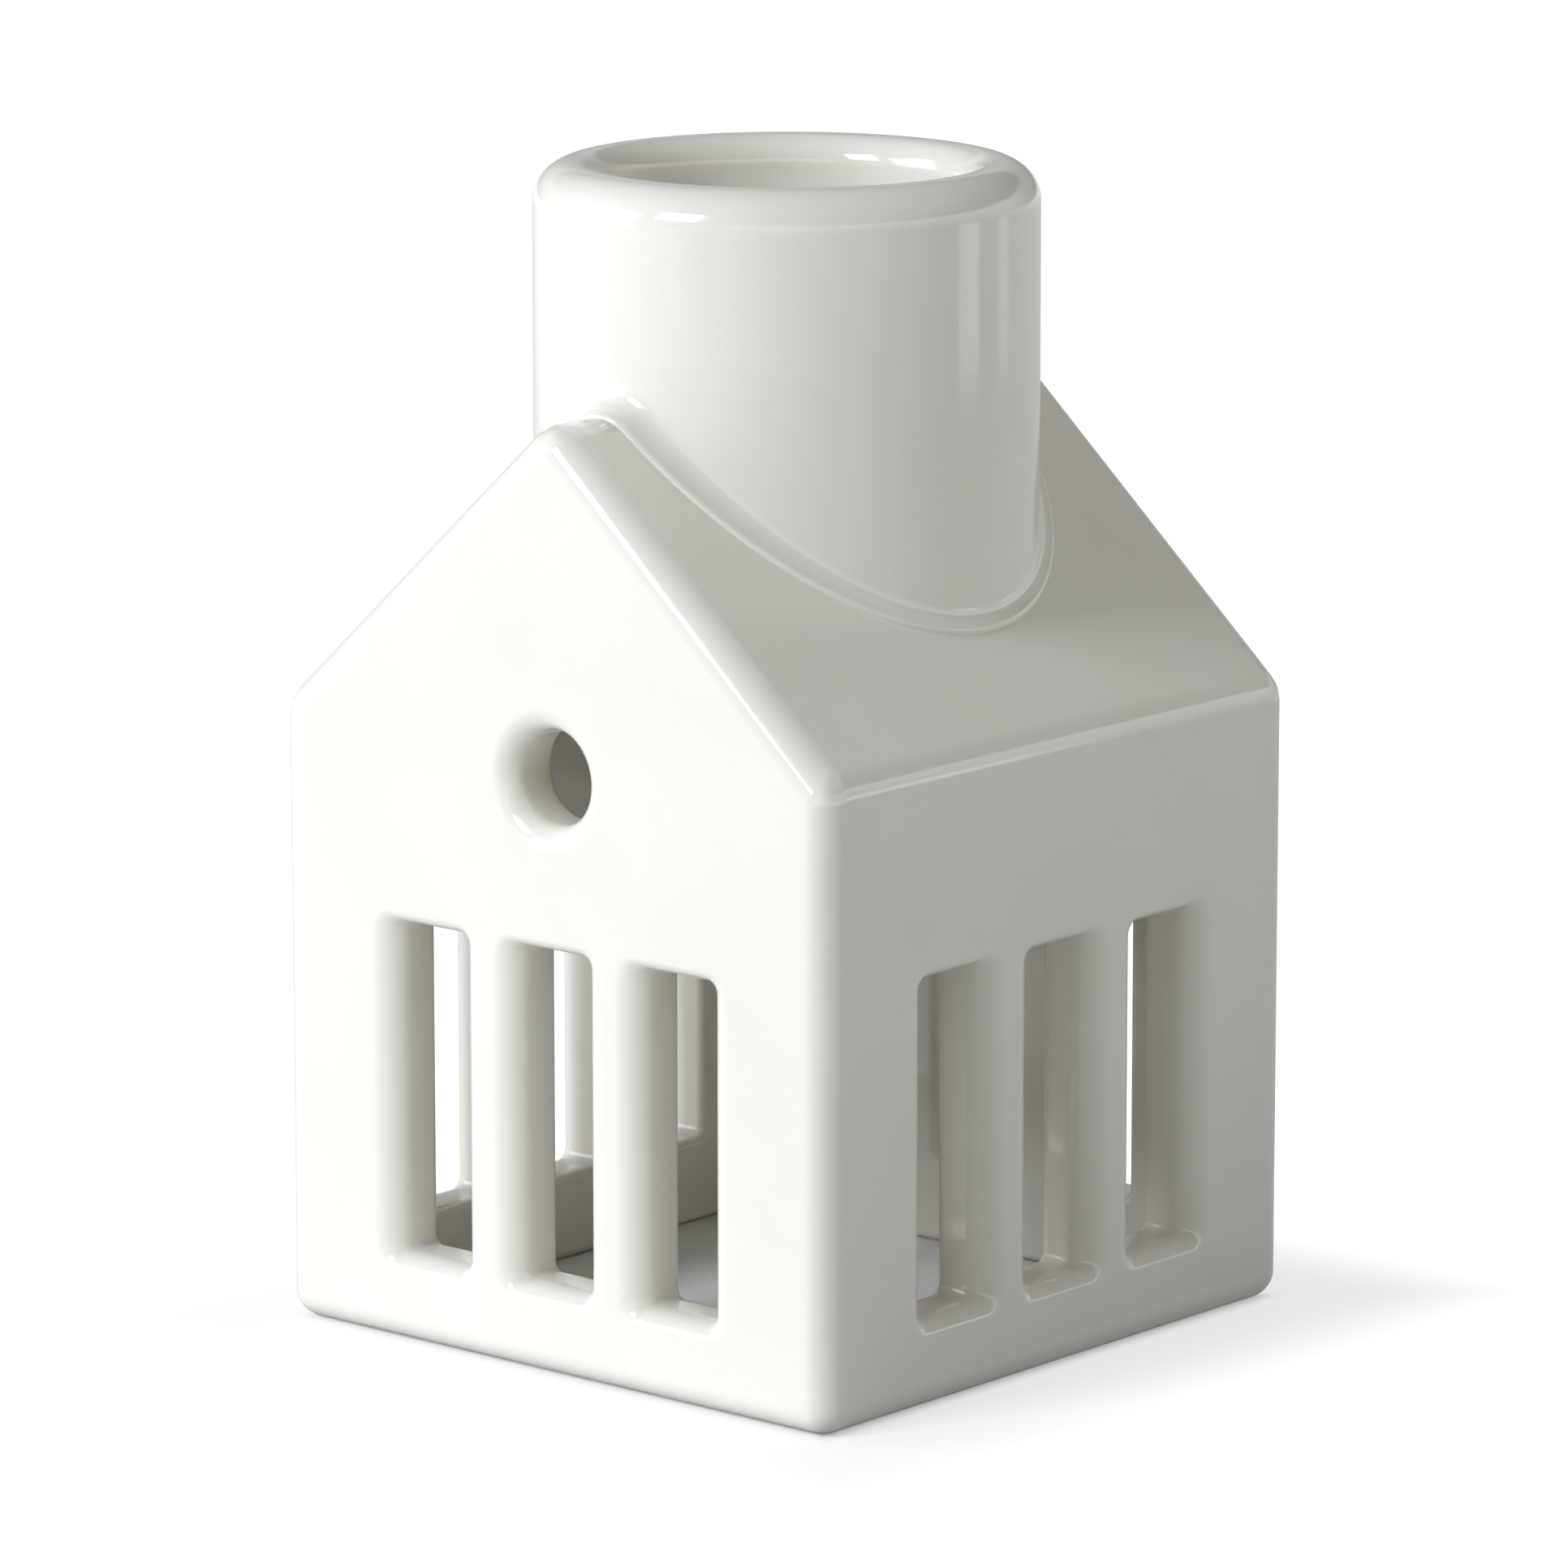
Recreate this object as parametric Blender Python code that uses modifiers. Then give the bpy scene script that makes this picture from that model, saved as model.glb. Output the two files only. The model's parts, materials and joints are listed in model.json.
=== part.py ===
# House candle holder in glazed ceramic
#
# A small gabled house, cast as one shell with an open base, has three upright
# slots in each wall and a round window in each gable. The chimney is a candle
# socket: a thick-rimmed cup that passes down through the ridge and rests on
# both roof slopes with a soft saddle foot.
#
# Units are metres. The front gable faces -Y, the ridge runs along Y, +Z is up,
# and the origin is the middle of the base.

import math

import bmesh
import bpy
from mathutils import Matrix, Vector

# House shell
HOUSE_WIDTH = 0.0471
HOUSE_DEPTH = 0.0471
EAVE_HEIGHT = 0.0419
ROOF_RISE = 0.0211
WALL = 0.0045
CORNER_ROUND = 0.0019
RAKE_ROUND = 0.0022
ROOF_ROUND = 0.0028
INNER_ROUND = 0.0012
FOOT_ROUND = 0.0019
INNER_FOOT_ROUND = 0.0006

# Upright slots, the same row in all four walls
SLOTS_PER_WALL = 3
SLOT_WIDTH = 0.0058
SLOT_HEIGHT = 0.0221
SLOT_PIER = 0.0048
SLOT_SILL = 0.0059
SLOT_CORNER = 0.0006
MOUTH_ROUND = 0.0019
INNER_MOUTH_ROUND = 0.0009

# Round window in each gable
WINDOW_DIAMETER = 0.0058
WINDOW_HEIGHT = 0.0391

# Candle socket, which is the chimney
CANDLE_DIAMETER = 0.0220
CANDLE_PLAY = 0.0007
SOCKET_WALL = 0.0048
SOCKET_DEPTH = 0.0250
SOCKET_FLOOR = 0.0040
SOCKET_FLOOR_ROUND = 0.0015
CHIMNEY_RISE = 0.0137
RIM_ROUND = 0.0026
INNER_RIM_ROUND = 0.0019
TUBE_END_ROUND = 0.0008
FOOT_FILLET = 0.0016
FOOT_LIP = 0.0003

# Gap that slip and glaze fill between the socket and the shell
JOINT_GAP = 0.0003

# Facets
TURN_STEPS = 64
EDGE_STEPS = 4
MOUTH_STEPS = 4
INNER_MOUTH_STEPS = 2
CORNER_STEPS = 3
WINDOW_STEPS = 28
FILLET_STEPS = 5

# How far a cutter runs past a surface, and a joined piece into its neighbour
CUT_PAST = 0.0015
JOIN_BITE = 0.0012
SKIN_BITE = 0.00005

GLAZE_COLOUR = (0.86, 0.85, 0.80, 1.0)
GLAZE_ROUGHNESS = 0.12

# Sizes that follow from the ones above
ROOF_ANGLE = math.atan2(ROOF_RISE, HOUSE_WIDTH / 2)
RIDGE_HEIGHT = EAVE_HEIGHT + ROOF_RISE
TOTAL_HEIGHT = RIDGE_HEIGHT + CHIMNEY_RISE
BORE_RADIUS = CANDLE_DIAMETER / 2 + CANDLE_PLAY
TUBE_RADIUS = BORE_RADIUS + SOCKET_WALL
SEAT_HEIGHT = TOTAL_HEIGHT - SOCKET_DEPTH
SLOT_PITCH = SLOT_WIDTH + SLOT_PIER
RIDGE_AXIS_HEIGHT = RIDGE_HEIGHT - ROOF_ROUND / math.cos(ROOF_ANGLE)


# Heights and outlines

def roof_plane_height(x, offset):
    """Height at x of the sloping roof planes, moved outwards by offset."""
    return RIDGE_HEIGHT - abs(x) * math.tan(ROOF_ANGLE) + offset / math.cos(ROOF_ANGLE)


def roof_surface(x, offset):
    """Height and outward normal at x of the roof with its rounded ridge, moved by offset."""
    radius = ROOF_ROUND + offset
    if abs(x) < radius * math.sin(ROOF_ANGLE):
        rise = math.sqrt(radius ** 2 - x ** 2)
        return RIDGE_AXIS_HEIGHT + rise, Vector((x, 0.0, rise)).normalized()
    side = math.copysign(1.0, x)
    normal = Vector((side * math.sin(ROOF_ANGLE), 0.0, math.cos(ROOF_ANGLE)))
    return roof_plane_height(x, offset), normal


def tube_end_height():
    """The tube ends flush with the roof's underside, or just below the socket's floor."""
    underside = roof_plane_height(TUBE_RADIUS, -WALL)
    below_floor = SEAT_HEIGHT - SOCKET_FLOOR - 2 * TUBE_END_ROUND
    return min(underside, below_floor)


def fitted_rounds(wall, outer, inner):
    """The two rounds on a wall's edge, limited so that both fit in the wall."""
    share = min(1.0, wall / (outer + inner))
    return outer * share, inner * share


def arc(x, z, radius, start, end, steps):
    """Points on an arc about (x, z), from one angle to another in degrees."""
    angles = [math.radians(start + (end - start) * i / steps) for i in range(steps + 1)]
    return [(x + radius * math.cos(a), z + radius * math.sin(a)) for a in angles]


def flare(radius, steps):
    """(height, spread) down a quarter-round mouth, from just above its face at height 0."""
    angles = [math.pi / 2 * i / steps for i in range(1, steps + 1)]
    points = [(radius * (math.cos(a) - 1), radius * (1 - math.sin(a))) for a in angles]
    return [(SKIN_BITE, radius)] + points


def hole_profile(depth, outer, inner):
    """(height, spread) down the side of a hole through a wall, rounded at both faces."""
    outer, inner = fitted_rounds(depth, outer, inner)
    upper = flare(outer, MOUTH_STEPS)
    lower = [(-depth - height, spread) for height, spread in reversed(flare(inner, INNER_MOUTH_STEPS))]
    return [(CUT_PAST, outer)] + upper + lower + [(-depth - CUT_PAST, inner)]


def rounded_rectangle(half_width, half_height, corner, steps):
    """Outline points, anticlockwise from the right side's lower corner."""
    points = []
    for start, side_x, side_y in ((-90, 1, -1), (0, 1, 1), (90, -1, 1), (180, -1, -1)):
        x = side_x * (half_width - corner)
        y = side_y * (half_height - corner)
        points += arc(x, y, corner, start, start + 90, steps)
    return points


# Scene helpers

def clear_scene():
    for obj in list(bpy.data.objects):
        bpy.data.objects.remove(obj, do_unlink=True)


def new_collection(name):
    collection = bpy.data.collections.new(name)
    bpy.context.scene.collection.children.link(collection)
    return collection


def glaze_material(name):
    material = bpy.data.materials.new(name)
    material.use_nodes = True
    shader = material.node_tree.nodes["Principled BSDF"]
    shader.inputs["Base Color"].default_value = GLAZE_COLOUR
    shader.inputs["Roughness"].default_value = GLAZE_ROUGHNESS
    shader.inputs["Metallic"].default_value = 0.0
    return material


def add_object(name, mesh, collection):
    obj = bpy.data.objects.new(name, mesh)
    collection.objects.link(obj)
    return obj


def as_cutter(obj, matrix=Matrix.Identity(4)):
    """Places an object that only cuts or joins, and hides it from renders."""
    obj.matrix_world = matrix
    obj.hide_render = True
    obj.display_type = "WIRE"
    return obj


def add_boolean(target, tool, operation):
    modifier = target.modifiers.new(tool.name, "BOOLEAN")
    modifier.operation = operation
    modifier.solver = "EXACT"
    modifier.object = tool


def mesh_from(bm, name):
    bmesh.ops.recalc_face_normals(bm, faces=bm.faces)
    mesh = bpy.data.meshes.new(name)
    bm.to_mesh(mesh)
    bm.free()
    return mesh


def loft(name, rings):
    """A closed solid through rings of equal length, capped at both ends."""
    bm = bmesh.new()
    rows = [[bm.verts.new(point) for point in ring] for ring in rings]
    count = len(rows[0])
    for row, below in zip(rows, rows[1:]):
        for i in range(count):
            j = (i + 1) % count
            bm.faces.new((row[i], row[j], below[j], below[i]))
    bm.faces.new(rows[0])
    bm.faces.new(reversed(rows[-1]))
    return mesh_from(bm, name)


def turned(name, profile, steps, collection):
    """A turned solid: the profile runs down its outer side and starts and ends on the axis."""
    verts = [(x, 0.0, z) for x, z in profile]
    edges = [(i, i + 1) for i in range(len(verts) - 1)]
    mesh = bpy.data.meshes.new(name)
    mesh.from_pydata(verts, edges, [])
    obj = add_object(name, mesh, collection)
    screw = obj.modifiers.new("Turn", "SCREW")
    screw.steps = steps
    screw.render_steps = steps
    screw.use_merge_vertices = True
    screw.merge_threshold = 1e-6
    screw.use_smooth_shade = True
    return obj


def extruded_outline(name, outline, thickness):
    """A closed bmesh: the outline lies in the XY plane, and the thickness runs along Z."""
    curve = bpy.data.curves.new(name, "CURVE")
    curve.dimensions = "2D"
    curve.fill_mode = "BOTH"
    curve.extrude = thickness / 2
    spline = curve.splines.new("POLY")
    spline.points.add(len(outline) - 1)
    for point, (x, y) in zip(spline.points, outline):
        point.co = (x, y, 0.0, 1.0)
    spline.use_cyclic_u = True
    source = add_object(name, curve, bpy.context.scene.collection)
    depsgraph = bpy.context.evaluated_depsgraph_get()
    mesh = bpy.data.meshes.new_from_object(source.evaluated_get(depsgraph))
    bpy.data.objects.remove(source, do_unlink=True)
    bm = bmesh.new()
    bm.from_mesh(mesh)
    bpy.data.meshes.remove(mesh)
    bmesh.ops.remove_doubles(bm, verts=bm.verts, dist=1e-6)
    bmesh.ops.dissolve_limit(bm, angle_limit=math.radians(1), verts=bm.verts, edges=bm.edges)
    return bm


# House shell

def gable_solid(name, offset, bottom, rounds, collection):
    """The house's outline, moved outwards by offset, as a prism with rounded edges.

    The rounds are those of the upright corners, of the gables' sloping edges, of the
    ridge and the eaves, and of the foot.
    Each edge's bevel weight is the tangent length of its fillet, so that the steep
    and the shallow edges of the roof get one radius.
    """
    corner_round, rake_round, roof_round, foot_round = rounds
    half = HOUSE_WIDTH / 2 + offset
    eave = roof_plane_height(half, offset)
    ridge = roof_plane_height(0.0, offset)
    outline = [(-half, bottom), (half, bottom), (half, eave), (0.0, ridge), (-half, eave)]
    bm = extruded_outline(name, outline, HOUSE_DEPTH + 2 * offset)
    bmesh.ops.transform(bm, matrix=Matrix.Rotation(math.pi / 2, 4, "X"), verts=bm.verts)
    bmesh.ops.recalc_face_normals(bm, faces=bm.faces)
    widest = max(rounds)
    weights = bm.edges.layers.float.new("bevel_weight_edge")
    for edge in bm.edges:
        low, high = sorted(vert.co.z for vert in edge.verts)
        if high < bottom + SKIN_BITE:
            radius = foot_round
        elif low < bottom + SKIN_BITE:
            radius = corner_round
        elif abs(edge.verts[0].co.y - edge.verts[1].co.y) < SKIN_BITE:
            radius = rake_round
        else:
            radius = roof_round
        edge[weights] = radius * math.tan(edge.calc_face_angle() / 2) / widest
    obj = add_object(name, mesh_from(bm, name), collection)
    bevel = obj.modifiers.new("Edge rounds", "BEVEL")
    bevel.limit_method = "WEIGHT"
    bevel.width = widest
    bevel.segments = EDGE_STEPS
    bevel.use_clamp_overlap = False
    return obj


def wall_frames():
    """(name, matrix, is_gable) for each wall: x runs along it, y is up and z points out."""
    frames = []
    for turn, name in enumerate(("front", "right", "back", "left")):
        is_gable = turn % 2 == 0
        half = (HOUSE_DEPTH if is_gable else HOUSE_WIDTH) / 2
        matrix = (
            Matrix.Rotation(turn * math.pi / 2, 4, "Z")
            @ Matrix.Translation((0.0, -half, 0.0))
            @ Matrix.Rotation(math.pi / 2, 4, "X")
        )
        frames.append((name, matrix, is_gable))
    return frames


def slot_mesh():
    """An upright slot's cutter, with its middle at the origin and the wall's face at z = 0."""
    rings = []
    for height, spread in hole_profile(WALL, MOUTH_ROUND, INNER_MOUTH_ROUND):
        half_width = SLOT_WIDTH / 2 + spread
        half_height = SLOT_HEIGHT / 2 + spread
        outline = rounded_rectangle(half_width, half_height, SLOT_CORNER + spread, CORNER_STEPS)
        rings.append([(x, y, height) for x, y in outline])
    return loft("slot", rings)


def window_cutter(name, collection):
    """A round window's cutter, turned about the wall's normal, with the wall's face at z = 0."""
    profile = [
        (WINDOW_DIAMETER / 2 + spread, height)
        for height, spread in hole_profile(WALL, MOUTH_ROUND, INNER_MOUTH_ROUND)
    ]
    profile = [(0.0, profile[0][1])] + profile + [(0.0, profile[-1][1])]
    return turned(name, profile, WINDOW_STEPS, collection)


def base_mouth_mesh():
    """Rounds the shell's inner edge at the open base: its mouth is at z = 0, z points down."""
    profile = [(CUT_PAST, INNER_FOOT_ROUND)] + flare(INNER_FOOT_ROUND, INNER_MOUTH_STEPS)
    profile[-1] = (-INNER_FOOT_ROUND, -SKIN_BITE)
    rings = []
    for height, spread in profile:
        half_width = HOUSE_WIDTH / 2 - WALL + spread
        half_depth = HOUSE_DEPTH / 2 - WALL + spread
        outline = rounded_rectangle(half_width, half_depth, INNER_ROUND + spread, EDGE_STEPS)
        rings.append([(x, y, height) for x, y in outline])
    return loft("base_mouth", rings)


def socket_hole_mesh():
    """The round hole through the ridge that the socket's tube passes down."""
    top = RIDGE_HEIGHT + CUT_PAST
    bottom = tube_end_height() - JOINT_GAP
    bm = bmesh.new()
    bmesh.ops.create_cone(
        bm,
        cap_ends=True,
        segments=TURN_STEPS,
        radius1=TUBE_RADIUS + JOINT_GAP,
        radius2=TUBE_RADIUS + JOINT_GAP,
        depth=top - bottom,
        matrix=Matrix.Translation((0.0, 0.0, (top + bottom) / 2)),
    )
    return mesh_from(bm, "socket_hole")


def build_house(parts, cutters):
    """The shell, less every object in the cutters collection."""
    outer_rounds = (CORNER_ROUND, RAKE_ROUND, ROOF_ROUND, FOOT_ROUND)
    shell = gable_solid("house_shell", 0.0, 0.0, outer_rounds, parts)
    as_cutter(gable_solid("room", -WALL, -CUT_PAST, (INNER_ROUND,) * 4, cutters))
    as_cutter(add_object("socket_hole", socket_hole_mesh(), cutters))
    upside_down = Matrix.Rotation(math.pi, 4, "X")
    as_cutter(add_object("base_mouth", base_mouth_mesh(), cutters), upside_down)
    slot = slot_mesh()
    slot_middle = SLOT_SILL + SLOT_HEIGHT / 2
    for name, frame, is_gable in wall_frames():
        for i in range(SLOTS_PER_WALL):
            along = (i - (SLOTS_PER_WALL - 1) / 2) * SLOT_PITCH
            place = frame @ Matrix.Translation((along, slot_middle, 0.0))
            as_cutter(add_object(f"slot_{name}_{i + 1}", slot, cutters), place)
        if is_gable:
            place = frame @ Matrix.Translation((0.0, WINDOW_HEIGHT, 0.0))
            as_cutter(window_cutter(f"window_{name}", cutters), place)
    openings = shell.modifiers.new("Openings", "BOOLEAN")
    openings.operation = "DIFFERENCE"
    openings.solver = "EXACT"
    openings.operand_type = "COLLECTION"
    openings.collection = cutters
    return shell


# Candle socket

def socket_profile():
    """(radius, height) of the cup, from its floor over the rim and down the outside."""
    rim, inner_rim = fitted_rounds(SOCKET_WALL, RIM_ROUND, INNER_RIM_ROUND)
    seat = SEAT_HEIGHT
    end = tube_end_height()
    profile = [(0.0, seat)]
    profile += arc(BORE_RADIUS - SOCKET_FLOOR_ROUND, seat + SOCKET_FLOOR_ROUND,
                   SOCKET_FLOOR_ROUND, -90, 0, INNER_MOUTH_STEPS)
    profile += arc(BORE_RADIUS + inner_rim, TOTAL_HEIGHT - inner_rim, inner_rim, 180, 90, FILLET_STEPS)
    profile += arc(TUBE_RADIUS - rim, TOTAL_HEIGHT - rim, rim, 90, 0, FILLET_STEPS)
    profile += arc(TUBE_RADIUS - TUBE_END_ROUND, end + TUBE_END_ROUND,
                   TUBE_END_ROUND, 0, -90, INNER_MOUTH_STEPS)
    profile += arc(BORE_RADIUS + TUBE_END_ROUND, end + TUBE_END_ROUND,
                   TUBE_END_ROUND, -90, -180, INNER_MOUTH_STEPS)
    profile.append((BORE_RADIUS, seat - SOCKET_FLOOR))
    profile.append((0.0, seat - SOCKET_FLOOR))
    return profile


def saddle_section(angle):
    """One closed section of the saddle foot at an angle round the tube.

    Its upper side is the path of a ball that touches the tube and the foot's upper
    face, which follows both slopes and the rounded ridge between them.
    """
    outwards = Vector((math.cos(angle), math.sin(angle), 0.0))
    centre = outwards * (TUBE_RADIUS + FOOT_FILLET - SKIN_BITE)
    centre.z, normal = roof_surface(centre.x, JOINT_GAP + FOOT_LIP + FOOT_FILLET)
    to_tube = -outwards
    to_roof = -normal
    section = []
    for i in range(FILLET_STEPS + 1):
        direction = to_tube.slerp(to_roof, i / FILLET_STEPS)
        section.append(centre + direction * FOOT_FILLET)
    section.append(section[-1] + to_roof * (JOINT_GAP + FOOT_LIP + JOIN_BITE))
    inner = outwards * (TUBE_RADIUS - JOIN_BITE)
    for height in (roof_surface(inner.x, -JOIN_BITE)[0], centre.z):
        section.append(Vector((inner.x, inner.y, height)))
    return section


def saddle_mesh():
    """The foot's sections, all round the tube and joined end to end."""
    bm = bmesh.new()
    sections = [
        [bm.verts.new(point) for point in saddle_section(2 * math.pi * i / TURN_STEPS)]
        for i in range(TURN_STEPS)
    ]
    count = len(sections[0])
    for i, section in enumerate(sections):
        following = sections[(i + 1) % TURN_STEPS]
        for j in range(count):
            k = (j + 1) % count
            bm.faces.new((section[j], following[j], following[k], section[k]))
    return mesh_from(bm, "saddle_foot")


def build_socket(parts, shaping):
    """The cup and its saddle foot, which is trimmed to sit just clear of the roof."""
    socket = turned("candle_socket", socket_profile(), TURN_STEPS, parts)
    saddle = as_cutter(add_object("saddle_foot", saddle_mesh(), shaping))
    clear_rounds = (CORNER_ROUND, RAKE_ROUND, ROOF_ROUND + JOINT_GAP, FOOT_ROUND)
    roof = gable_solid("roof_clearance", JOINT_GAP, 0.0, clear_rounds, shaping)
    add_boolean(saddle, as_cutter(roof), "DIFFERENCE")
    add_boolean(socket, saddle, "UNION")
    return socket


def main():
    clear_scene()
    parts = new_collection("House candle holder")
    cutters = new_collection("Shell cutters")
    shaping = new_collection("Saddle shaping")
    for obj in (build_house(parts, cutters), build_socket(parts, shaping)):
        obj.data.materials.append(glaze_material(obj.name + "_glaze"))


main()
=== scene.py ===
# House candle holder in glazed ceramic: the dressed model, its light and its camera
#
# Both pieces get a smooth glazed skin in the shape of their solids: the shell is
# cut from a rounded prism, and the socket is one loft round the candle's axis.
#
# Units are metres. The front gable faces -Y, the ridge runs along Y, +Z is up,
# and the origin is the middle of the base.

import json
import math

import bmesh
import bpy
from mathutils import Matrix, Quaternion, Vector

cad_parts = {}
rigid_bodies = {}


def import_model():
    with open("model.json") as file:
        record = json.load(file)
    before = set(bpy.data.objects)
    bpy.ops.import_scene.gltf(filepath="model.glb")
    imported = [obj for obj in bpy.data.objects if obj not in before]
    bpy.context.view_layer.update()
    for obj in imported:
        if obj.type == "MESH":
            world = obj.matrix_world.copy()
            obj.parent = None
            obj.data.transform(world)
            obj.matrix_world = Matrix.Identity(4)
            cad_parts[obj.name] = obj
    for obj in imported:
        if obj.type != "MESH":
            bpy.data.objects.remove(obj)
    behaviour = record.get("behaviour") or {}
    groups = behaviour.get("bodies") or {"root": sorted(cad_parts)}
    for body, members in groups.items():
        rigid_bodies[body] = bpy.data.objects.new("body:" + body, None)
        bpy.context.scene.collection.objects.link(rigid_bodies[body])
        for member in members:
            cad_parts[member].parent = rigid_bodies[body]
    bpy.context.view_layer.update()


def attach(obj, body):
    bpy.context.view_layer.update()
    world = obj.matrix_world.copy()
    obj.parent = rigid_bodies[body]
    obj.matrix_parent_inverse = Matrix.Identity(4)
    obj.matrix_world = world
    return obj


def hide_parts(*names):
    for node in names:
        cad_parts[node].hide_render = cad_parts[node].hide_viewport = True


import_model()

# House shell
HOUSE_WIDTH = 0.0471
HOUSE_DEPTH = 0.0471
EAVE_HEIGHT = 0.0419
ROOF_RISE = 0.0211
WALL = 0.0045
CORNER_ROUND = 0.0019
RAKE_ROUND = 0.0022
ROOF_ROUND = 0.0028
INNER_ROUND = 0.0012
FOOT_ROUND = 0.0019
INNER_FOOT_ROUND = 0.0006

# Upright slots, the same row in all four walls
SLOTS_PER_WALL = 3
SLOT_WIDTH = 0.0058
SLOT_HEIGHT = 0.0221
SLOT_PIER = 0.0048
SLOT_SILL = 0.0059
SLOT_CORNER = 0.0006
MOUTH_ROUND = 0.0019
INNER_MOUTH_ROUND = 0.0009
SLOT_END_SHARE = 0.52

# Round window in each gable
WINDOW_DIAMETER = 0.0062
WINDOW_HEIGHT = 0.03935
WINDOW_MOUTH_ROUND = 0.0016

# Candle socket, which is the chimney
CANDLE_DIAMETER = 0.0220
CANDLE_PLAY = 0.0007
SOCKET_WALL = 0.0048
SOCKET_DEPTH = 0.0250
SOCKET_FLOOR = 0.0040
SOCKET_FLOOR_ROUND = 0.0015
CHIMNEY_RISE = 0.0137
RIM_ROUND = 0.0026
INNER_RIM_ROUND = 0.0019
TUBE_END = 0.04218
TUBE_END_ROUND = 0.0008
RECESS_ROUND = 0.0008
FOOT_FILLET = 0.0016
FOOT_LIP = 0.00035
FOOT_SKIRT = 0.0008

# Facets
EDGE_STEPS = 12
MOUTH_STEPS = 10
INNER_MOUTH_STEPS = 6
CORNER_STEPS = 7
WINDOW_STEPS = 96
TURN_STEPS = 192
SEAT_STEPS = 5
SEAT_ROUND_STEPS = 8
BORE_STEPS = 10
RIM_STEPS = 16
TUBE_STEPS = 14
FILLET_STEPS = 16
LIP_STEPS = 6
TUBE_BELOW_STEPS = 8
TUBE_END_STEPS = 6
RECESS_ROUND_STEPS = 5
RECESS_STEPS = 4

# How far a cutter runs past a surface, and how far a mouth starts above its face
CUT_PAST = 0.0015
SKIN = 0.000004

# How far the shell's hole for the socket lies inside the tube's wall and runs below its end
HOLE_INSET = 0.0002
HOLE_PAST = 0.0003

# How much the larger faces lead the shading, where 50 is not at all
SHELL_NORMAL_WEIGHT = 100
SOCKET_NORMAL_WEIGHT = 60

# Sizes that follow from the ones above
ROOF_ANGLE = math.atan2(ROOF_RISE, HOUSE_WIDTH / 2)
RIDGE_HEIGHT = EAVE_HEIGHT + ROOF_RISE
RIDGE_AXIS_HEIGHT = RIDGE_HEIGHT - ROOF_ROUND / math.cos(ROOF_ANGLE)
SLOT_PITCH = SLOT_WIDTH + SLOT_PIER
TOTAL_HEIGHT = RIDGE_HEIGHT + CHIMNEY_RISE
BORE_RADIUS = CANDLE_DIAMETER / 2 + CANDLE_PLAY
TUBE_RADIUS = BORE_RADIUS + SOCKET_WALL
SEAT_HEIGHT = TOTAL_HEIGHT - SOCKET_DEPTH

# Camera, fitted to the object's edges in the photograph: pixels, degrees and metres,
# and its sensor in millimetres
IMAGE_SIZE = 1932
CENTRE_X = 969.533
CENTRE_Y = 918.484
FOCAL_PIXELS = 10515
CAMERA_AZIMUTH = 40.786
CAMERA_ELEVATION = 11.487
CAMERA_ROLL = -0.027
CAMERA_DISTANCE = 0.560
CAMERA_TARGET = Vector((0.0, 0.0, 0.038))
CAMERA_CLIP_START = 0.01
SENSOR_WIDTH = 36.0

# A smooth change goes from its first value to its second
RISE = (0.0, 1.0)
FALL = (1.0, 0.0)
WHITE = (1.0, 1.0, 1.0, 1.0)

# Glaze and bare clay
GLAZE_LIGHT = (0.862, 0.852, 0.768, 1.0)
GLAZE_DEEP = (0.844, 0.832, 0.742, 1.0)
# Painted shade: the darker, browner colour given to the glaze within the house and its openings
PAINTED_SHADE_INSIDE = (0.800, 0.783, 0.690, 1.0)
INSIDE_REACH = (0.0195, 0.0222)
INSIDE_TOP = (0.0424, 0.0430)
GLAZE_ROUGHNESS = (0.07, 0.12)
GLAZE_IOR = 1.6
GLAZE_WAVE = 0.00004
GLAZE_PEEL = 0.000004
CLAY_LIGHT = (0.780, 0.745, 0.680, 1.0)
CLAY_DEEP = (0.700, 0.655, 0.580, 1.0)
CLAY_ROUGHNESS = 0.8
CLAY_GRAIN = 0.00003
FOOT_RING_TOP = 0.0003
FOOT_RING_WAVE = 0.0001

# Noise as (scale, detail), and the span of its values that a change covers
TONE_NOISE = (90.0, 3.0)
POLISH_NOISE = (260.0, 4.0)
WAVE_NOISE = (140.0, 1.0)
PEEL_NOISE = (1500.0, 2.0)
FOOT_RING_NOISE = (900.0, 2.0)
CLAY_NOISE = (2500.0, 3.0)
NOISE_SPAN = (0.3, 0.7)
CLAY_SPAN = (0.35, 0.65)

# Surrounding, as strengths where 1 is white, and as directions where 1 is straight up,
# right or back
AMBIENT = (0.39, 0.31)
AMBIENT_TOP = 0.9
AMBIENT_SHARE = (0.74, 1.20)
AMBIENT_COLOUR = (1.0, 0.991, 0.960, 1.0)
BACKDROP_MIRRORED = (1.0, 1.6)
BACKDROP_TOP = 0.28
BACKDROP_FADE = 0.02
BACKDROP_SIDES = (-0.2, 0.5)
BACKDROP_SHARE = (0.3, 1.0)
ROOM_MIRRORED = 0.12

# Floor: what is seen of it, the light it throws back, its glow and its mirror image,
# each over a distance from the middle
FLOOR_REACH = 6.0
FLOOR_SEEN = (0.88, 0.88, 0.86, 1.0)
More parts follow.
